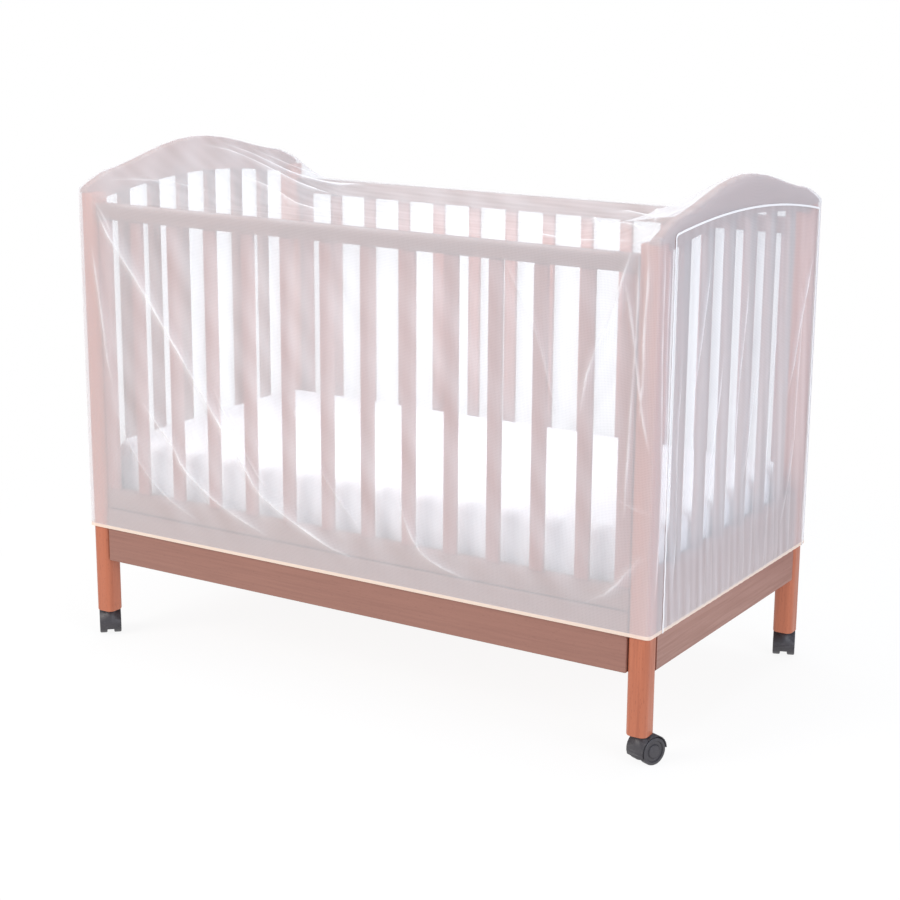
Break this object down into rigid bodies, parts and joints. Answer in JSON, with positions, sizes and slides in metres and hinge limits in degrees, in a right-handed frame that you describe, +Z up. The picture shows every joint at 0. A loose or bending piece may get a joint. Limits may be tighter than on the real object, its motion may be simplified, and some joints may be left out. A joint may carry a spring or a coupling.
{
  "type": "crib mosquito net over a slatted crib",
  "caption": "Sheer mosquito net draped over a slatted wooden crib with arched ends and swivel casters; end panels are seamed on with a narrow binding.",
  "frame": {"origin": "on the floor under the middle of the crib", "axes": "+X along the crib to its right end as seen from the front, +Y towards its back, +Z up"},
  "size_m": [1.2822, 0.7149, 0.9841],
  "materials": {
    "wood": "satin reddish-brown stained and lacquered beech",
    "mattress_cover": "matte white cotton cover",
    "net": "sheer white mosquito mesh",
    "binding": "matte white seam binding",
    "caster": "dark grey moulded nylon"
  },
  "bodies": {
    "root": {"post_front_left": "wood", "post_front_right": "wood", "post_rear_left": "wood", "post_rear_right": "wood", "front_apron": "wood", "front_bottom_rail": "wood", "front_top_rail": "wood", "front_stile_left": "wood", "front_stile_right": "wood", "front_slat_01": "wood", "front_slat_02": "wood", "front_slat_03": "wood", "front_slat_04": "wood", "front_slat_05": "wood", "front_slat_06": "wood", "front_slat_07": "wood", "front_slat_08": "wood", "front_slat_09": "wood", "front_slat_10": "wood", "front_slat_11": "wood", "front_slat_12": "wood", "back_apron": "wood", "back_bottom_rail": "wood", "back_top_rail": "wood", "back_stile_left": "wood", "back_stile_right": "wood", "back_slat_01": "wood", "back_slat_02": "wood", "back_slat_03": "wood", "back_slat_04": "wood", "back_slat_05": "wood", "back_slat_06": "wood", "back_slat_07": "wood", "back_slat_08": "wood", "back_slat_09": "wood", "back_slat_10": "wood", "back_slat_11": "wood", "back_slat_12": "wood", "left_end_panel": "wood", "right_end_panel": "wood", "mattress_base": "wood", "mattress": "mattress_cover", "net_main_panel": "net", "net_left_end": "net", "net_right_end": "net", "seam_binding_left": "binding", "seam_binding_right": "binding"},
    "caster_front_left": {"caster_hood_front_left": "caster"},
    "wheels_front_left": {"caster_wheels_front_left": "caster"},
    "caster_front_right": {"caster_hood_front_right": "caster"},
    "wheels_front_right": {"caster_wheels_front_right": "caster"},
    "caster_rear_left": {"caster_hood_rear_left": "caster"},
    "wheels_rear_left": {"caster_wheels_rear_left": "caster"},
    "caster_rear_right": {"caster_hood_rear_right": "caster"},
    "wheels_rear_right": {"caster_wheels_rear_right": "caster"}
  },
  "joints": [
    {"name": "swivel_front_left", "type": "hinge", "parent": "root", "child": "caster_front_left", "pos_m": [-0.6, -0.3156, 0.055], "axis": [0, 0, 1], "continuous": true},
    {"name": "roll_front_left", "type": "hinge", "parent": "caster_front_left", "child": "wheels_front_left", "pos_m": [-0.61194, -0.3028, 0.025], "axis": [-0.7314, -0.682, 0], "continuous": true},
    {"name": "swivel_front_right", "type": "hinge", "parent": "root", "child": "caster_front_right", "pos_m": [0.6, -0.3156, 0.055], "axis": [0, 0, 1], "continuous": true},
    {"name": "roll_front_right", "type": "hinge", "parent": "caster_front_right", "child": "wheels_front_right", "pos_m": [0.60647, -0.29934, 0.025], "axis": [-0.9291, 0.3697, 0], "continuous": true},
    {"name": "swivel_rear_left", "type": "hinge", "parent": "root", "child": "caster_rear_left", "pos_m": [-0.6, 0.3156, 0.055], "axis": [0, 0, 1], "continuous": true},
    {"name": "roll_rear_left", "type": "hinge", "parent": "caster_rear_left", "child": "wheels_rear_left", "pos_m": [-0.59696, 0.33283, 0.025], "axis": [-0.9848, 0.1736, 0], "continuous": true},
    {"name": "swivel_rear_right", "type": "hinge", "parent": "root", "child": "caster_rear_right", "pos_m": [0.6, 0.3156, 0.055], "axis": [0, 0, 1], "continuous": true},
    {"name": "roll_rear_right", "type": "hinge", "parent": "caster_rear_right", "child": "wheels_rear_right", "pos_m": [0.59353, 0.33186, 0.025], "axis": [-0.9291, -0.3697, 0], "continuous": true}
  ]
}
